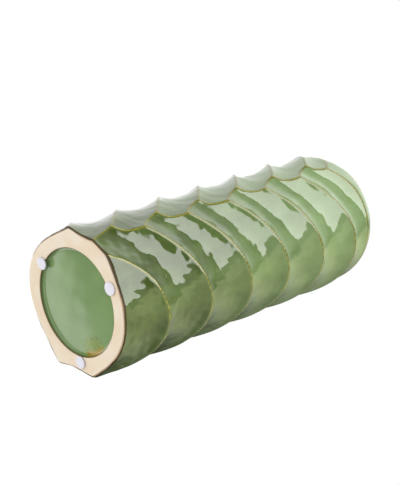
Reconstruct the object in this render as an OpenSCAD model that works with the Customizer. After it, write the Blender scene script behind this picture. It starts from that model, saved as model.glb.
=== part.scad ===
// Tall cylindrical stoneware vase with a carved relief of overlapping scallops.
// It stands upright on three stick-on pads: +Z is up the vase's axis, the origin is
// on that axis, and Z = 0 is the plane that the pads stand on.

/* [Vase] */
// Height of the fired pot, from its foot ring to its lip
pot_height = 304; // [280:2:330]
// Radius of the relief at the bottom of a scallop, at the foot
valley_radius = 54.4; // [54.4:0.1:60]
// How much wider that radius is at the lip
flare = 4.2; // [0:0.1:6]
// Radius of the cavity inside the wall, before its glaze
cavity_radius = 49; // [44:0.5:50]
// Thickness of clay between the foot well and the cavity's floor
floor_thickness = 9; // [7:0.5:14]
// Radius of the rounded corner between the cavity's floor and wall
floor_corner = 12; // [6:1:20]
// Height over which the lip rounds inwards
lip_height = 10; // [6:0.5:14]
// How far the lip spreads over that height
lip_spread = 5.6; // [3:0.1:7]
// Width of the clay rim round the mouth
rim_width = 3.1; // [2:0.1:4]

/* [Relief] */
// Distance along the axis from one ridge to the next
ridge_pitch = 46; // [44:1:48]
// Height of a ridge between two scallops above the valley radius
ridge_rise = 4.5; // [2:0.1:5]
// Height that a scallop gains towards the ends of its column
end_rise = 3.9; // [2:0.1:5]
// Power of that gain: a higher one keeps it nearer the ends
end_power = 7; // [5:1:9]
// Height of the lowest whole ridge's crest above the foot ring
first_crest = 42; // [30:1:46]
// Fall of a ridge in a quarter turn from its crest, counter-clockwise seen from above
fall_counter = 65; // [50:1:70]
// Fall of a ridge in a quarter turn the other way
fall_clockwise = 48; // [44:1:60]
// Turn from a column's middle to its ridges' crest
crest_lean = -5; // [-8:1:8]
// Direction of the middle of the first column
column_direction = 304; // [0:1:359]
// How far the first column's lowest ridge droops at the foot
foot_droop = 12; // [0:1:16]
// Height above the foot ring where that droop begins
droop_height = 40; // [34:1:60]

/* [Foot] */
// Radius of the shallow well inside the foot ring
well_radius = 42.7; // [38:0.1:44]
// Depth of the well below the foot ring, to its glaze
well_depth = 3; // [2:0.5:4]
// Radius of the fillet round the well's floor
well_fillet = 2; // [0.5:0.5:2]
// Height over which the outer wall rounds in to the foot ring
foot_round = 2; // [2:0.5:5]
// How far it rounds in
foot_inset = 0.6; // [0.2:0.1:2]

/* [Glaze] */
// Thickness of the glaze on the outside and the lip
outer_glaze_t = 0.9; // [0.6:0.1:1.2]
// Thickness of the glaze in the cavity and the well
inner_glaze_t = 0.7; // [0.5:0.1:1]
// Height of bare clay above the foot ring
bare_foot = 0.7; // [0.5:0.1:1.5]

/* [Pads] */
// Radius of a stick-on pad
pad_radius = 5; // [4:0.5:6]
// Thickness of a pad without its adhesive
pad_thickness = 1.3; // [1:0.1:2]
// Thickness of the adhesive film under a pad
adhesive_t = 0.2; // [0.1:0.05:0.3]

/* [Hidden] */

// The pads were stuck on by hand, so their directions and distances from the axis differ
pad_directions = [254, 8, 134];
pad_distances = [46, 47, 43.5];
pad_edge = 0.3;

columns = 2;
column_turn = 360 / columns;
around = 48;
rows = 34;
foot_rows = 2;
lip_rows = 4;
smooth = 96;
overlap = 1;

foot_z = pad_thickness + adhesive_t;
top_z = foot_z + pot_height;
clay_top_z = top_z - outer_glaze_t;
well_floor_z = foot_z + well_depth + inner_glaze_t;
cavity_floor_z = well_floor_z + floor_thickness;
lip_radius = cavity_radius + rim_width + outer_glaze_t;

// Turn from a column's middle, between -180 and 180 degrees, for direction a
function turn_from(a, middle) = (a - middle + 540) % 360 - 180;

// How far a ridge has fallen at turn p from its crest
function ridge_fall(p) = (p < 0 ? fall_clockwise : fall_counter) * (1 - cos(p));

// How far the ridges of column c droop at height h
function droop(c, h) = c == 0 && h < droop_height ? foot_droop * pow(1 - h / droop_height, 2) : 0;

// Height of one column's scallops above the valley radius, at turn p and height h, drooping by d
function column_relief(p, h, d) =
    let (rows_up = (h + d - first_crest + ridge_fall(p - crest_lean)) / ridge_pitch + 0.5)
    let (off_centre = rows_up - round(rows_up))
    ridge_rise * pow(2 * off_centre, 2) + end_rise * pow(abs(p) / 90, end_power);

// Radius of the glazed relief: each scallop cuts down to the lower of the two columns
function relief_radius(a, h) =
    valley_radius + flare * pow(h / pot_height, 2) + min([
        for (c = [0 : columns - 1])
            column_relief(turn_from(a, column_direction + c * column_turn), h, droop(c, h))
    ]);

// Share of a quarter circle's inset at distance d from its open end, over a length l
function rounding(d, l) = d >= l ? 0 : 1 - sqrt(1 - pow(1 - d / l, 2));

// Radius of the outside at direction a and height h above the foot ring
function skin_radius(a, h) =
    let (body = relief_radius(a, h) - foot_inset * rounding(h, foot_round))
    min(body, lip_radius + lip_spread * sqrt((pot_height - h) / lip_height));

// Heights of the rows of points, closer together where the foot and the lip round in
row_heights = concat(
    [for (i = [0 : foot_rows - 1]) bare_foot + (foot_round - bare_foot) * i / foot_rows],
    [for (i = [0 : rows]) foot_round + (pot_height - lip_height - foot_round) * i / rows],
    [for (i = [1 : lip_rows]) pot_height - lip_height * pow(1 - i / lip_rows, 2)]
);

function skin_points(skin_rows) = [
    for (row = skin_rows, i = [0 : around - 1])
        let (a = 360 * i / around, r = skin_radius(a, row[0]) - row[1])
        [r * cos(a), r * sin(a), row[2]]
];

function flat_ring(r, z) = [
    for (i = [0 : around - 1])
        let (a = 360 * i / around)
        [r * cos(a), r * sin(a), z]
];

// Triangles between rings j and k; flip = true splits each four-sided face the other way
function band_faces(j, k, flip) = [
    for (i = [0 : around - 1])
        let (m = (i + 1) % around, ji = j * around + i, jm = j * around + m)
        let (ki = k * around + i, km = k * around + m)
        each flip ? [[ji, ki, jm], [ki, km, jm]] : [[ji, ki, km], [ji, km, jm]]
];

// Triangles that join rings first to last into a tube, each ring to the next
function tube_faces(first, last, flip) = [
    for (j = [first : last - 1]) each band_faces(j, j + 1, flip)
];

// Clay heights stop one glaze thickness below the lip
function clay_z(h) = min(foot_z + h, clay_top_z);

// Each row of points is [height that its outline is taken at, inset, height that it lies at]
clay_rows = concat(
    [[0, outer_glaze_t, foot_z]],
    [for (h = row_heights) [h, outer_glaze_t, clay_z(h)]]
);

glaze_outside = [for (h = row_heights) [h, 0, foot_z + h]];

glaze_inside = [
    for (i = [len(row_heights) - 1 : -1 : 0]) [row_heights[i], outer_glaze_t, clay_z(row_heights[i])]
];

module clay_block() {
    points = skin_points(clay_rows);
    count = len(clay_rows);
    base = [for (i = [0 : around - 1]) i];
    top = [for (i = [around - 1 : -1 : 0]) (count - 1) * around + i];
    polyhedron(points, concat(tube_faces(0, count - 1, false), [base, top]), convexity = 6);
}

// Outline of the cavity, from its floor's middle out and up past the lip, grown inwards by t
module cavity_outline(t, top) {
    r = cavity_radius - t;
    corner = floor_corner - t;
    low = cavity_floor_z + t;
    difference() {
        translate([0, low]) square([r, top - low]);
        translate([r - corner, low]) square([corner, corner]);
    }
    intersection() {
        translate([r - corner, low + corner]) circle(corner, $fn = smooth);
        translate([0, low]) square([r, top - low]);
    }
}

// Outline of the foot well, cut up from the foot ring, shrunk by t
module well_outline(t) {
    r = well_radius - t;
    high = well_floor_z - t;
    fillet = well_fillet;
    difference() {
        translate([0, foot_z - overlap]) square([r, high - foot_z + overlap]);
        translate([r - fillet, high - fillet]) square([fillet, fillet]);
    }
    intersection() {
        translate([r - fillet, high - fillet]) circle(fillet, $fn = smooth);
        translate([0, foot_z]) square([r, high - foot_z]);
    }
}

module stoneware_body() {
    color("#eedcc8")
        difference() {
            clay_block();
            rotate_extrude($fn = smooth) cavity_outline(0, top_z + overlap);
            rotate_extrude($fn = smooth) well_outline(0);
        }
}

// The glaze on the outside turns over the lip and ends in a square edge at the cavity.
// Its back has the same triangles as its front and as the clay, so that they touch all over.
module outer_glaze() {
    points = concat(
        skin_points(glaze_outside),
        flat_ring(cavity_radius, top_z),
        flat_ring(cavity_radius, clay_top_z),
        skin_points(glaze_inside)
    );
    front_last = len(glaze_outside) + 1;
    back_last = front_last + len(glaze_inside);
    faces = concat(
        tube_faces(0, front_last, false),
        tube_faces(front_last, back_last, true),
        band_faces(back_last, 0, false)
    );
    color("#78965f") polyhedron(points, faces, convexity = 8);
}

module inner_glaze() {
    color("#7d9b6a")
        rotate_extrude($fn = smooth)
            difference() {
                cavity_outline(0, top_z);
                cavity_outline(inner_glaze_t, top_z + overlap);
            }
}

module foot_well_glaze() {
    color("#7a9b69")
        rotate_extrude($fn = smooth)
            difference() {
                intersection() {
                    well_outline(0);
                    translate([0, foot_z + bare_foot]) square([well_radius, well_floor_z]);
                }
                well_outline(inner_glaze_t);
            }
}

module at_pad(i) {
    a = pad_directions[i];
    r = pad_distances[i];
    translate([r * cos(a), r * sin(a), 0]) children();
}

module foot_pad(i) {
    color("#e4e2ec")
        at_pad(i)
            rotate_extrude($fn = smooth)
                polygon([
                    [0, 0],
                    [pad_radius - pad_edge, 0],
                    [pad_radius, pad_edge],
                    [pad_radius, pad_thickness],
                    [0, pad_thickness]
                ]);
}

module pad_adhesive(i) {
    color("#cfd2d6")
        at_pad(i)
            translate([0, 0, pad_thickness])
                cylinder(h = adhesive_t, r = pad_radius - pad_edge, $fn = smooth);
}

stoneware_body();
outer_glaze();
inner_glaze();
foot_well_glaze();
foot_pad(0);  // foot_pad_1
foot_pad(1);  // foot_pad_2
foot_pad(2);  // foot_pad_3
pad_adhesive(0);  // pad_adhesive_1
pad_adhesive(1);  // pad_adhesive_2
pad_adhesive(2);  // pad_adhesive_3
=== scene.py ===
"""Looks of a stoneware vase with a green reactive glaze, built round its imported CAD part.

Lengths are in metres. Angles are directions about the vase's axis, counter-clockwise seen from
above, and heights h are above the foot ring, while z is a height in the shared frame.
"""

import math

import bpy
import numpy as np
from mathutils import Matrix, Vector


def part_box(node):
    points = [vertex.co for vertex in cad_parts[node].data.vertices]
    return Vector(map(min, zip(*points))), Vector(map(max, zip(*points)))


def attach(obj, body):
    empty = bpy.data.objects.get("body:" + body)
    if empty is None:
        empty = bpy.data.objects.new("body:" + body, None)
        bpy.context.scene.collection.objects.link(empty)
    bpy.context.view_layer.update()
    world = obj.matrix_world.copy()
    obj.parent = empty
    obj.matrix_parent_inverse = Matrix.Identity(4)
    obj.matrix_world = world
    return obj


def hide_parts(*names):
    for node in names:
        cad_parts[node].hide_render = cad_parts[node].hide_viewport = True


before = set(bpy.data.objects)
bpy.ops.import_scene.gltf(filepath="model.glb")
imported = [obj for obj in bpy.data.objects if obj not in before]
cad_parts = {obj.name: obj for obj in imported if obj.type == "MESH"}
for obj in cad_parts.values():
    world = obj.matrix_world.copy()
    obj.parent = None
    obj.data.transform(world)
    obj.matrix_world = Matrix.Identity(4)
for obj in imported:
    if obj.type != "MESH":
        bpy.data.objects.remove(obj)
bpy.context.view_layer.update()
MM = 0.001

# ---------------------------------------------------------------- sizes from the frame
foot_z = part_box("stoneware_body")[0].z
top_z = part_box("outer_glaze")[1].z
clay_top_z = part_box("stoneware_body")[1].z
pot_height = top_z - foot_z
outer_glaze_t = top_z - clay_top_z
bare_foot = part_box("outer_glaze")[0].z - foot_z
cavity_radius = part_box("inner_glaze")[1].x
cavity_floor_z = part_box("inner_glaze")[0].z
well_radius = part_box("foot_well_glaze")[1].x
well_ceiling_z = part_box("foot_well_glaze")[1].z

# ---------------------------------------------------------------- sizes that the part's source gives
valley_radius = 54.4 * MM
flare = 4.2 * MM
ridge_rise = 4.5 * MM
end_rise = 3.9 * MM
end_power = 7
ridge_pitch = 46 * MM
first_crest = 42 * MM
fall_counter = 65 * MM
fall_clockwise = 48 * MM
crest_lean = math.radians(-5)
column_directions = [math.radians(304), math.radians(124)]
foot_droop = 12 * MM
droop_height = 40 * MM
lip_height = 10 * MM
lip_spread = 5.6 * MM
lip_radius = 53 * MM
foot_round = 2 * MM
foot_inset = 0.6 * MM
inner_glaze_t = 0.7 * MM
floor_corner = 12 * MM
well_fillet = 2 * MM

# ---------------------------------------------------------------- sizes of the finish
ridge_softness = 0.2 * MM
bead_height = 1.2 * MM
mouth_round = 1.7 * MM
foot_edge = 0.6 * MM
pool_place = (38 * MM, -9 * MM, 5 * MM)
glaze_ior = 1.52

# Gaps are stored in millimetres, and this one stands for a place far from any ridge
far_gap = 3.0

AROUND = 384
angles = np.linspace(0, 2 * math.pi, AROUND, endpoint=False)


def quarter(steps):
    """Turns from 0 to a quarter circle."""
    return np.linspace(0, math.pi / 2, steps)


# ---------------------------------------------------------------- surface formulas
def waves(seed, count, shortest, longest, radius=valley_radius):
    """Random plane waves round the vase: whole numbers of turns, axial rates, phases, lengths."""
    draw = np.random.default_rng(seed)
    length = np.exp(draw.uniform(math.log(shortest), math.log(longest), count))
    heading = draw.uniform(0, 2 * math.pi, count)
    rate = 2 * math.pi / length
    turns = np.round(rate * np.cos(heading) * radius)
    return list(zip(turns, rate * np.sin(heading), draw.uniform(0, 2 * math.pi, count), length))


def ripple(a, h, wave_list):
    """Smooth noise of about unit size at angle a and height h; long waves count for more."""
    total = sum(length * np.cos(turns * a + rate * h + phase) for turns, rate, phase, length in wave_list)
    return total / math.sqrt(sum(w[3] ** 2 for w in wave_list) / 2)


def rounding(d, length):
    """Share of a quarter circle's inset at distance d from its open end."""
    return 1 - np.sqrt(1 - np.clip(1 - d / length, 0, 1) ** 2)


def nearness(h):
    """1 at the foot ring and 0 at the lip."""
    return 1 - h / pot_height


def column_scoops(a, h, middle):
    """Heights above the valley radius of the three scoops of a column nearest to (a, h)."""
    p = (a - middle + math.pi) % (2 * math.pi) - math.pi
    lean = p - crest_lean
    fall = np.where(lean < 0, fall_clockwise, fall_counter) * (1 - np.cos(lean))
    if middle == column_directions[0]:
        fall = fall + foot_droop * np.clip(1 - h / droop_height, 0, 1) ** 2
    rows_up = (h - first_crest + fall) / ridge_pitch + 0.5
    off_centre = rows_up - np.round(rows_up)
    ends = end_rise * (np.abs(p) / (math.pi / 2)) ** end_power
    return [ridge_rise * (2 * (off_centre + k)) ** 2 + ends for k in (-1, 0, 1)]


def relief(a, h):
    """(radius, gap): the glazed surface's radius, and how much higher the next scoop is than this one.

    The glaze is thicker near the foot, so it rounds the ridges more there.
    """
    valley = valley_radius + flare * (h / pot_height) ** 2
    scoops = [s for middle in column_directions for s in column_scoops(a, h, middle)]
    lip = lip_radius + lip_spread * np.sqrt(np.clip(pot_height - h, 0, None) / lip_height)
    heights = np.sort(np.stack(scoops + [lip - valley]), axis=0)
    least = heights[0]
    softness = ridge_softness * (1 + 2 * nearness(h) ** 2)
    soft = least - softness * np.log(np.exp((least - heights) / softness).sum(0))
    return valley + soft - foot_inset * rounding(h, foot_round), heights[1] - least


slow_waves = waves(11, 40, 14 * MM, 40 * MM)
quick_waves = waves(12, 60, 5 * MM, 12 * MM)


def glazed_radius(a, h):
    """(radius, gap) with the unevenness of a poured glaze, which is strongest near the foot."""
    radius, gap = relief(a, h)
    slow = 0.11 * MM * (0.8 + 0.5 * nearness(h)) * ripple(a, h, slow_waves)
    facing = 0.65 + 0.35 * np.cos(a - column_directions[0])
    quick = 0.032 * MM * facing * (0.45 + 2.6 * nearness(h) ** 2) * ripple(a, h, quick_waves)
    return radius + (slow + quick) * np.clip(gap / (1 * MM), 0.3, 1), gap


def clay_radius(h):
    """Radius of the clay under the glaze, all round at height h."""
    radius, _ = relief(angles, np.full(AROUND, h))
    return radius - outer_glaze_t


# ---------------------------------------------------------------- mesh building
def ring_points(radius, z):
    """One ring of points; radius and z are numbers or one value for each angle."""
    radius = np.broadcast_to(radius, angles.shape)
    return np.stack([radius * np.cos(angles), radius * np.sin(angles), np.broadcast_to(z, angles.shape)], 1)


def turned(name, rings, closed=True, attributes=None):
    """Mesh object through a list of rings: a tube closed on itself, or one closed at two centre points."""
    points = np.concatenate(rings)
    total = len(points)
    start = np.arange(len(rings) if closed else len(rings) - 1)[:, None] * AROUND
    following = (start + AROUND) % total
    here = np.arange(AROUND)[None, :]
    beside = (here + 1) % AROUND
    faces = np.stack([start + here, start + beside, following + beside, following + here], -1)
    faces = faces.reshape(-1, 4).tolist()
    points = points.tolist()
    if not closed:
        points += [rings[0].mean(0).tolist(), rings[-1].mean(0).tolist()]
        end = total - AROUND
        faces += [[total, (n + 1) % AROUND, n] for n in range(AROUND)]
        faces += [[total + 1, end + n, end + (n + 1) % AROUND] for n in range(AROUND)]
    mesh = bpy.data.meshes.new(name)
    mesh.from_pydata(points, [], faces)
    for key, values in (attributes or {}).items():
        layer = mesh.attributes.new(key, "FLOAT", "POINT")
        padded = np.zeros(len(points), np.float32)
        padded[: values.size] = values.ravel()
        layer.data.foreach_set("value", padded)
    mesh.polygons.foreach_set("use_smooth", [True] * len(mesh.polygons))
    mesh.update()
    piece = bpy.data.objects.new(name, mesh)
    bpy.context.scene.collection.objects.link(piece)
    return piece


def corner_arc(radius, corner, z, steps, side=1):
    """(radius, z) points of a rounded corner, from wall to flat at z; side is -1 under a ceiling."""
    return [(radius - corner + corner * math.cos(t), z + side * corner * (1 - math.sin(t)))
            for t in quarter(steps)]


# ---------------------------------------------------------------- the pieces
def ridge_distance(gaps, heights):
    """Distance from the nearest ridge, as the gap that a ridge of the usual slope has there.

    The gaps are on rows at these heights. Dividing by the steepest slope nearby keeps the
    amber line as wide on a shallow ridge as on a steep one.
    """
    usual_slope = 0.78
    least_slope = 0.12
    step = 2 * math.pi / AROUND * valley_radius
    across = (np.roll(gaps, -1, 1) - np.roll(gaps, 1, 1)) / (2 * step)
    slope = np.hypot(np.gradient(gaps, heights, axis=0), across)
    rows = np.arange(len(slope))
    reach = range(-2, 3)
    beside = [np.roll(slope, k, 1) for k in reach]
    above = [slope[np.clip(rows + k, 0, len(slope) - 1)] for k in reach]
    return gaps * usual_slope / np.clip(np.max(beside + above, axis=0), least_slope, None)


def outer_glaze():
    """The glaze on the outside, from its bead at the foot over the lip to the cavity, and its back."""
    foot_line = bare_foot + 0.25 * MM * ripple(angles, 0, waves(21, 12, 10 * MM, 60 * MM))
    bead_top = bare_foot + bead_height
    low_wall = 6 * MM
    wall_heights = np.concatenate([
        np.linspace(bead_top, low_wall, 6)[:-1],
        np.linspace(low_wall, pot_height - lip_height, 205)[:-1],
        pot_height - lip_height * np.linspace(1, 0, 16) ** 2,
    ])
    rings, gaps, row_heights = [], [], []

    def add_row(h, usual_height, inset=0.0):
        radius, gap = glazed_radius(angles, h)
        rings.append(ring_points(radius - inset, foot_z + h))
        gaps.append(gap)
        row_heights.append(usual_height)

    for turn in quarter(6)[:-1]:
        rise = 1 - math.cos(turn)
        inset = outer_glaze_t * (1 - math.sin(turn))
        add_row(foot_line + (bead_top - foot_line) * rise, bare_foot + bead_height * rise, inset)
    for h in wall_heights:
        add_row(np.full(AROUND, h), h)
    edge_radius = cavity_radius - inner_glaze_t
    for radius in np.linspace(lip_radius, edge_radius + mouth_round, 4)[1:]:
        rings.append(ring_points(radius, top_z))
    for turn in quarter(6)[1:]:
        radius = edge_radius + mouth_round * (1 - math.sin(turn))
        rings.append(ring_points(radius, top_z - mouth_round * (1 - math.cos(turn))))
    rings.append(ring_points(cavity_radius, top_z - mouth_round))
    rings.append(ring_points(cavity_radius, clay_top_z))
    for h in np.concatenate([wall_heights[::-1][::12], [bead_top]]):
        rings.append(ring_points(clay_radius(h), min(foot_z + h, clay_top_z)))
    near = ridge_distance(np.array(gaps), np.array(row_heights)) / MM
    gap_values = np.concatenate([near, np.full((len(rings) - len(gaps), AROUND), far_gap)])
    piece = turned("outer_glaze_coat", rings, attributes={"gap": gap_values})
    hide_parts("outer_glaze")
    return piece


def cavity_profile(inset, wall_rows, corner_rows, floor_rows):
    """(radius, z) points of the cavity's wall, rounded corner and floor, set in from the clay."""
    radius, corner, floor = cavity_radius - inset, floor_corner - inset, cavity_floor_z + inset
    wall = [(radius, z) for z in np.linspace(top_z - mouth_round, floor + floor_corner, wall_rows)[:-1]]
    flat = [(r, floor) for r in np.linspace(radius - corner, 2 * MM, floor_rows)[1:]]
    return wall + corner_arc(radius, corner, floor, corner_rows) + flat


def inner_glaze():
    """The glaze in the cavity: a tube and a floor with a rounded corner."""
    rings = [ring_points(r, z) for r, z in cavity_profile(0, 6, 14, 6)[::-1]]
    throw_waves = waves(31, 24, 8 * MM, 40 * MM, cavity_radius)
    floor_z = cavity_floor_z + inner_glaze_t
    for r, z in cavity_profile(inner_glaze_t, 60, 14, 16):
        wobble = 0.08 * MM * ripple(angles, z, throw_waves) * min(1, r / (20 * MM))
        lift = np.abs(wobble) if math.isclose(z, floor_z, abs_tol=1e-6) else 0
        rings.append(ring_points(r - wobble, z + lift))
    gaps = np.full(len(rings) * AROUND + 2, far_gap)
    piece = turned("inner_glaze_coat", rings, closed=False, attributes={"gap": gaps})
    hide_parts("inner_glaze")
    return piece


well_corner = corner_arc(well_radius, well_fillet, well_ceiling_z, 8, side=-1)[::-1][1:]


def clay_body():
    """The fired clay: foot well, foot ring, outer wall under its glaze, rim and cavity."""
    rings, stains = [], []

    def add(radius, z, stain=0.0):
        rings.append(ring_points(radius, z))
        stains.append(np.broadcast_to(stain, angles.shape))

    for r in np.linspace(2 * MM, well_radius - well_fillet, 8):
        add(r, well_ceiling_z)
    for r, z in well_corner:
        add(r, z)

    inner, outer = well_radius + foot_edge, clay_radius(0) - foot_edge
    ring_waves = waves(41, 20, 6 * MM, 40 * MM)
    for turn in quarter(5):
        add(inner - foot_edge * math.cos(turn), foot_z + foot_edge * (1 - math.sin(turn)), 1 - turn / 2)
    for share in np.linspace(0, 1, 14)[1:-1]:
        radius = inner + (outer - inner) * share
        from_edge = np.minimum(radius - inner, outer - radius)
        bumps = 0.04 * MM * ripple(angles, share * 12 * MM, ring_waves)
        add(radius, foot_z + np.abs(bumps), np.clip(1 - from_edge / (2.5 * MM), 0, 1) * 0.6)
    for turn in quarter(5):
        add(outer + foot_edge * math.sin(turn), foot_z + foot_edge * (1 - math.cos(turn)), 0.3 + turn / 3)

    foot_rows = [0.8, 1.2, 1.8, 2.6, 3.5]
    for h in np.concatenate([foot_rows, np.linspace(5, 296, 80)]) * MM:
        add(clay_radius(h), foot_z + h, 0.8)

    rim_z = clay_top_z - 0.02 * MM
    for turn in quarter(7)[1:]:
        h = pot_height - lip_height * math.cos(turn) ** 2
        add(clay_radius(h), min(foot_z + h, rim_z))
    add(cavity_radius, rim_z)
    for z in np.linspace(clay_top_z - 1 * MM, cavity_floor_z + floor_corner, 8)[:-1]:
        add(cavity_radius, z)
    for r, z in corner_arc(cavity_radius, floor_corner, cavity_floor_z, 10):
        add(r, z)
    for r in np.linspace(cavity_radius - floor_corner, 2 * MM, 5)[1:]:
        add(r, cavity_floor_z)
    piece = turned("clay_body", rings, closed=False, attributes={"stain": np.array(stains)})
    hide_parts("stoneware_body")
    return piece


def well_glaze():
    """The glaze in the foot well, with a slightly dished floor."""
    face_radius = well_radius - inner_glaze_t
    face_z = well_ceiling_z - inner_glaze_t
    face_fillet = well_fillet - 0.2 * MM
    edge_z = foot_z + bare_foot * 0.5
    rings = [ring_points(r, well_ceiling_z) for r in np.linspace(2 * MM, well_radius - well_fillet, 6)]
    rings += [ring_points(r, z) for r, z in well_corner]
    for turn in quarter(5):
        radius = well_radius - inner_glaze_t * math.sin(turn)
        rings.append(ring_points(radius, edge_z + inner_glaze_t * (1 - math.cos(turn))))
    for r, z in corner_arc(face_radius, face_fillet, face_z, 10, side=-1)[1:]:
        rings.append(ring_points(r, z))
    well_waves = waves(51, 30, 14 * MM, 60 * MM, well_radius)
    for r in np.linspace(face_radius - face_fillet, 1 * MM, 60)[1:]:
        x, y = r * np.cos(angles), r * np.sin(angles)
        dish = -0.25 * MM * (1 - (r / face_radius) ** 2)
        swell = 0.025 * MM * ripple(x / well_radius, y, well_waves)
        rings.append(ring_points(r, face_z + dish + swell))
    piece = turned("well_glaze_coat", rings, closed=False)
    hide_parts("foot_well_glaze")
    return piece


def disc(name, centre, radius, low, high, edge, seed):
    """A round disc with rounded edges and a slightly uneven outline."""
    uneven = 1 + 0.008 * ripple(angles, 0, waves(seed, 10, 4 * MM, 20 * MM, radius))
    middle = 0.3 * MM
    profile = [(r, low) for r in np.linspace(middle, radius - edge, 8)]
    profile += [(radius - edge * (1 - math.sin(t)), low + edge * (1 - math.cos(t))) for t in quarter(6)[1:]]
    profile += [(radius - edge * (1 - math.cos(t)), high - edge * (1 - math.sin(t))) for t in quarter(6)]
    profile += [(r, high) for r in np.linspace(radius - edge, middle, 4)[1:]]
    rings = [ring_points(r * uneven, z) + np.array([centre.x, centre.y, 0]) for r, z in profile]
    return turned(name, rings, closed=False)


def pad(number):
    """A stick-on pad."""
    low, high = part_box(f"foot_pad_{number}")
    centre = (low + high) / 2
    piece = disc(f"pad_{number}", centre, (high.x - low.x) / 2, low.z, high.z, 0.25 * MM, 60 + number)
    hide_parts(f"foot_pad_{number}")
    return piece


def film(number):
    """The adhesive film between a pad and the clay."""
    low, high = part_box(f"pad_adhesive_{number}")
    centre = (low + high) / 2
    piece = disc(f"pad_film_{number}", centre, (high.x - low.x) / 2, low.z, high.z, 0.05 * MM, 70 + number)
    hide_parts(f"pad_adhesive_{number}")
    return piece


# ---------------------------------------------------------------- materials
def srgb(r, g, b):
    """Linear colour from 0 to 255 values."""
    return [((c / 255 + 0.055) / 1.055) ** 2.4 if c > 10 else c / 255 / 12.92 for c in (r, g, b)] + [1]


class Nodes:
    """Shorthands for building the node tree of a new material or world."""

    def __init__(self, owner):
        owner.use_nodes = True
        self.owner = owner
        self.tree = owner.node_tree
        coordinates = self.new("ShaderNodeTexCoord")
        self.place = coordinates.outputs["Object"]
        self.way = coordinates.outputs["Generated"]

    def new(self, kind, **settings):
        node = self.tree.nodes.new(kind)
        for key, value in settings.items():
            setattr(node, key, value)
        return node

    def feed(self, value, socket):
        """Link an output to a socket, or set the socket to a constant."""
        if isinstance(value, bpy.types.NodeSocket):
            self.tree.links.new(value, socket)
        else:
            socket.default_value = value

    def attribute(self, name):
        return self.new("ShaderNodeAttribute", attribute_name=name).outputs["Fac"]

    def noise(self, scale, detail=2.0, distortion=0.0, stretch=None):
        place = self.place
        if stretch:
            mapping = self.new("ShaderNodeMapping")
            mapping.inputs["Scale"].default_value = stretch
            self.feed(place, mapping.inputs["Vector"])
            place = mapping.outputs["Vector"]
        node = self.new("ShaderNodeTexNoise")
        values = {"Vector": place, "Scale": scale, "Detail": detail, "Distortion": distortion}
        for name, value in values.items():
            self.feed(value, node.inputs[name])
        return node.outputs["Fac"]

    def math(self, operation, a, b=0.0, clamp=False):
        node = self.new("ShaderNodeMath", operation=operation, use_clamp=clamp)
        self.feed(a, node.inputs[0])
        self.feed(b, node.inputs[1])
        return node.outputs[0]

    def vector_math(self, operation, a, b=(0.0, 0.0, 0.0)):
        """The number that a vector operation gives."""
        node = self.new("ShaderNodeVectorMath", operation=operation)
        self.feed(a, node.inputs[0])
        self.feed(b, node.inputs[1])
        return node.outputs["Value"]

    def uneven(self, value, noise, amount, clamp=False):
        """The value, moved up or down by up to half the amount by a noise."""
        shift = self.math("MULTIPLY", self.math("SUBTRACT", noise, 0.5), amount)
        return self.math("ADD", value, shift, clamp)

    def span(self, value, low, high, to_low=0.0, to_high=1.0):
        """Smooth change from to_low to to_high while the value goes from low to high."""
        node = self.new("ShaderNodeMapRange", interpolation_type="SMOOTHSTEP")
        values = {"Value": value, "From Min": low, "From Max": high, "To Min": to_low, "To Max": to_high}
        for name, number in values.items():
            self.feed(number, node.inputs[name])
        return node.outputs["Result"]

    def mix(self, share, a, b):
        node = self.new("ShaderNodeMix", data_type="RGBA")
        self.feed(share, node.inputs["Factor"])
        self.feed(a, node.inputs["A"])
        self.feed(b, node.inputs["B"])
        return node.outputs["Result"]

    def height(self):
        node = self.new("ShaderNodeSeparateXYZ")
        self.feed(self.place, node.inputs[0])
        return node.outputs["Z"]

    def bump(self, value, distance, strength):
        node = self.new("ShaderNodeBump")
        node.inputs["Strength"].default_value = strength
        node.inputs["Distance"].default_value = distance
        self.feed(value, node.inputs["Height"])
        return node.outputs["Normal"]

    def surface(self, **values):
        """Feed the material's own shader and return the material; an underscore stands for a space."""
        sockets = self.tree.nodes["Principled BSDF"].inputs
        for name, value in values.items():
            self.feed(value, sockets[name.replace("_", " ")])
        return self.owner


def reactive_glaze():
    """Green glaze: olive at the foot, sage at the mouth, thin and amber where it breaks over ridges, with a
    darker olive band beside them that is partly painted shade.
    """
    n = Nodes(bpy.data.materials.new("reactive_glaze"))
    streak = n.span(n.noise(60, 3, 0.3, stretch=(1, 1, 0.35)), 0.3, 0.7)
    olive = n.mix(streak, srgb(60, 75, 30), srgb(78, 96, 42))
    sage = n.mix(streak, srgb(107, 130, 80), srgb(119, 143, 93))
    toward_lip = n.uneven(n.span(n.height(), 0.0, 0.29), n.noise(28, 3, 0.6), 0.5, clamp=True)
    body = n.mix(toward_lip, olive, sage)
    gap = n.uneven(n.attribute("gap"), n.noise(220, 2), 0.35)
    yellowed = n.mix(n.span(gap, 1.6, 0.4, 0.0, 0.3), body, srgb(130, 138, 66))
    # Dark olive round each ridge: partly the glaze's break colour, partly painted shade beside the ridges
    break_and_painted_shade = n.mix(n.span(gap, 1.1, 0.5), yellowed, srgb(86, 92, 36))
    crest = n.mix(n.span(gap, 0.5, 0.2), break_and_painted_shade, srgb(142, 138, 52))
    specks = n.span(n.noise(900, 1), 0.74, 0.8)
    specked = n.mix(n.math("MULTIPLY", specks, 0.5), crest, srgb(70, 74, 40))
    bead = n.span(n.height(), foot_z + 2.8 * MM, foot_z + 1.2 * MM, 0, 0.9)
    return n.surface(
        Base_Color=n.mix(bead, specked, srgb(66, 52, 22)),
        Roughness=n.span(n.noise(70, 2), 0.3, 0.7, 0.03, 0.06),
        IOR=glaze_ior,
        Normal=n.bump(n.noise(110, 1, 0.4), 0.3 * MM, 0.08),
    )


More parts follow.
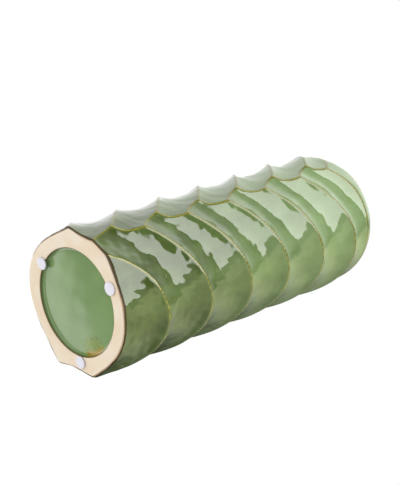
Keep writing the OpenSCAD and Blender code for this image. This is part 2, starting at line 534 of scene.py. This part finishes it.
def well_glaze_material():
    """Even green glaze, yellowed at one side, with a pooled amber rim and a few bubbles there."""
    n = Nodes(bpy.data.materials.new("well_glaze_finish"))
    mottled = n.mix(n.span(n.noise(35, 3, 0.5), 0.3, 0.7), srgb(117, 145, 91), srgb(128, 156, 100))
    from_pool = n.uneven(n.vector_math("DISTANCE", n.place, pool_place), n.noise(160, 3, 1), 12 * MM)
    washed = n.mix(n.span(from_pool, 15 * MM, 8 * MM, 0, 0.8), mottled, srgb(128, 148, 66))
    from_axis = n.uneven(n.vector_math("LENGTH", n.place), n.noise(200, 2), 6 * MM)
    rim = n.span(from_axis, 37 * MM, 40 * MM, 0, 0.85)
    pooled_rim = n.math("MULTIPLY", n.span(from_pool, 12 * MM, 7 * MM), rim)
    pooled = n.mix(pooled_rim, washed, srgb(172, 140, 44))
    dots = n.span(n.noise(420, 2, 1.5), 0.58, 0.64)
    bubbles = n.math("MULTIPLY", n.span(from_pool, 15 * MM, 10 * MM), dots)
    bubbled = n.mix(n.math("MULTIPLY", bubbles, 0.75), pooled, srgb(54, 66, 28))
    bead = n.span(n.height(), foot_z + 1.5 * MM, foot_z + 0.7 * MM, 0, 0.85)
    return n.surface(
        Base_Color=n.mix(bead, bubbled, srgb(92, 68, 30)),
        Roughness=0.1,
        IOR=glaze_ior,
        Normal=n.bump(n.noise(90, 1, 0.3), 0.2 * MM, 0.12),
    )


def clay_material():
    """Unglazed cream stoneware with a fine grain and a faint glaze stain at its edges."""
    n = Nodes(bpy.data.materials.new("fired_clay"))
    tone = n.mix(n.span(n.noise(45, 4, 0.4), 0.3, 0.7), srgb(237, 217, 188), srgb(243, 230, 209))
    grain = n.mix(n.span(n.noise(1400, 2), 0.55, 0.75, 0, 0.35), tone, srgb(214, 188, 158))
    return n.surface(
        Base_Color=n.mix(n.span(n.attribute("stain"), 0.45, 0.95, 0, 0.8), grain, srgb(182, 128, 66)),
        Roughness=0.85,
        Normal=n.bump(n.noise(900, 3), 0.2 * MM, 0.6),
    )


def pad_material():
    """Pale, slightly mottled rubber."""
    n = Nodes(bpy.data.materials.new("pad_rubber"))
    return n.surface(
        Base_Color=n.mix(n.noise(300, 2), srgb(226, 224, 236), srgb(236, 234, 242)),
        Roughness=0.5,
        Normal=n.bump(n.noise(1500, 2), 0.1 * MM, 0.3),
    )


def film_material():
    """Grey adhesive film."""
    n = Nodes(bpy.data.materials.new("pad_adhesive_film"))
    grey = n.mix(n.noise(500, 2), srgb(120, 118, 120), srgb(150, 148, 150))
    return n.surface(Base_Color=grey, Roughness=0.6)


# ---------------------------------------------------------------- the vase
glaze = reactive_glaze()
painted = [
    (outer_glaze(), glaze),
    (inner_glaze(), glaze),
    (clay_body(), clay_material()),
    (well_glaze(), well_glaze_material()),
]
rubber, film_finish = pad_material(), film_material()
for number in (1, 2, 3):
    painted += [(pad(number), rubber), (film(number), film_finish)]
for piece, material in painted:
    piece.data.materials.append(material)
    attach(piece, "root")


# ---------------------------------------------------------------- camera
def look_from(place, aim, upward):
    """Camera at a place, aimed at a point; returns its right, up and back directions."""
    back = (place - aim).normalized()
    right = upward.cross(back).normalized()
    up = back.cross(right)
    data = bpy.data.cameras.new("camera")
    data.sensor_width = 36
    data.lens = 75.96
    camera = bpy.data.objects.new("camera", data)
    camera.matrix_world = Matrix.Translation(place) @ Matrix((right, up, back)).transposed().to_4x4()
    bpy.context.scene.collection.objects.link(camera)
    bpy.context.scene.camera = camera
    return right, up, back


# ---------------------------------------------------------------- light and stage
# Strengths, by where the lights stand as the camera sees them
room_light = 0.16
key_light = 6.2
low_light = 1.15
left_light = 1.9
fill_light = 1.1
side_light = 0.6
backdrop_light = 1.1


def studio_world(right, up, back):
    """White behind everything for the camera; softboxes, cards and a backdrop for light and gloss.

    They lie in directions from the vase, in degrees: the azimuth turns from the camera's side
    towards its right, and the elevation rises towards the top of its picture.
    """
    n = Nodes(bpy.data.worlds.new("studio"))

    def along(axis):
        return n.vector_math("DOT_PRODUCT", n.way, axis)

    azimuth = n.math("ARCTAN2", along(right), along(back))
    elevation = n.math("ARCSINE", along(up))

    def fade(value, low, high, to_low=0, to_high=1):
        return n.span(value, math.radians(low), math.radians(high), to_low, to_high)

    def panel(value, low, high, edge):
        rising = fade(value, low - edge, low + edge)
        return n.math("MULTIPLY", rising, fade(value, high - edge, high + edge, 1, 0))

    def box(azimuths, elevations, edge, radiance):
        shape = n.math("MULTIPLY", panel(azimuth, *azimuths, edge), panel(elevation, *elevations, edge))
        return n.math("MULTIPLY", shape, radiance)

    away = n.math("ABSOLUTE", azimuth)
    shade = n.math("MULTIPLY", fade(away, 105, 150), panel(elevation, -75, -6, 9))
    backdrop = n.math("MULTIPLY", fade(away, 114, 142), panel(elevation, 2, 60, 8))
    sloping = n.math("SUBTRACT", elevation, n.math("MULTIPLY", azimuth, 0.14))
    low_sides = n.math("MULTIPLY", fade(azimuth, 54, 62), fade(azimuth, 128, 176, 1, 0))
    low_ends = n.math("MULTIPLY", fade(elevation, -66, -36), fade(sloping, -25, -20, 1, 0))
    low_card = n.math("MULTIPLY", low_sides, low_ends)
    room = n.span(shade, 0, 1, room_light, room_light * 0.45)
    lights = [
        box((53, 93), (-2, 56), 1.5, key_light),
        n.math("MULTIPLY", low_card, low_light),
        box((-150, -101.2), (-50, 12), 0.8, left_light),
        box((-84, 5), (-55, 60), 8, fill_light),
        box((99, 150), (0, 70), 7, side_light),
        box((58, 99), (-24, 0), 3, side_light),
        box((162, 178), (3, 17), 3, backdrop_light),
        n.math("MULTIPLY", backdrop, backdrop_light),
    ]
    total = room
    for light in lights:
        total = n.math("ADD", total, light)
    lit = n.tree.nodes["Background"]
    n.feed(n.mix(low_card, [1, 1, 1, 1], [0.98, 1, 0.66, 1]), lit.inputs["Color"])
    n.feed(total, lit.inputs["Strength"])
    seen = n.new("ShaderNodeBackground")
    seen.inputs["Color"].default_value = (1, 1, 1, 1)
    mix = n.new("ShaderNodeMixShader")
    n.feed(n.new("ShaderNodeLightPath").outputs["Is Camera Ray"], mix.inputs["Fac"])
    n.feed(lit.outputs[0], mix.inputs[1])
    n.feed(seen.outputs[0], mix.inputs[2])
    n.feed(mix.outputs[0], n.tree.nodes["World Output"].inputs["Surface"])
    bpy.context.scene.world = n.owner


def pale_floor():
    """A pale floor under the vase, seen only from above and by the camera only."""
    size = 3
    corners = [(-size, -size, 0), (size, -size, 0), (size, size, 0), (-size, size, 0)]
    mesh = bpy.data.meshes.new("floor")
    mesh.from_pydata(corners, [], [(0, 1, 2, 3)])
    floor = bpy.data.objects.new("floor", mesh)
    bpy.context.scene.collection.objects.link(floor)
    n = Nodes(bpy.data.materials.new("floor_paper"))
    floor.data.materials.append(n.surface(Base_Color=srgb(244, 244, 244), Roughness=0.8))
    faded = n.span(n.vector_math("LENGTH", n.place), 0.35, 1.4)
    from_below = n.new("ShaderNodeNewGeometry").outputs["Backfacing"]
    mix = n.new("ShaderNodeMixShader")
    n.feed(n.math("MAXIMUM", from_below, faded), mix.inputs["Fac"])
    n.feed(n.tree.nodes["Principled BSDF"].outputs[0], mix.inputs[1])
    n.feed(n.new("ShaderNodeBsdfTransparent").outputs[0], mix.inputs[2])
    n.feed(mix.outputs[0], n.tree.nodes["Material Output"].inputs["Surface"])
    floor.visible_shadow = floor.visible_glossy = floor.visible_diffuse = floor.visible_transmission = False


camera_place = Vector((-0.1534, -0.6057, -0.4481))
camera_aim = Vector((-0.0129, 0.0030, 0.1425))
camera_up = Vector((-0.97284, 0, 0.23146))
studio_world(*look_from(camera_place, camera_aim, camera_up))
pale_floor()
bpy.context.scene.view_settings.view_transform = "Standard"
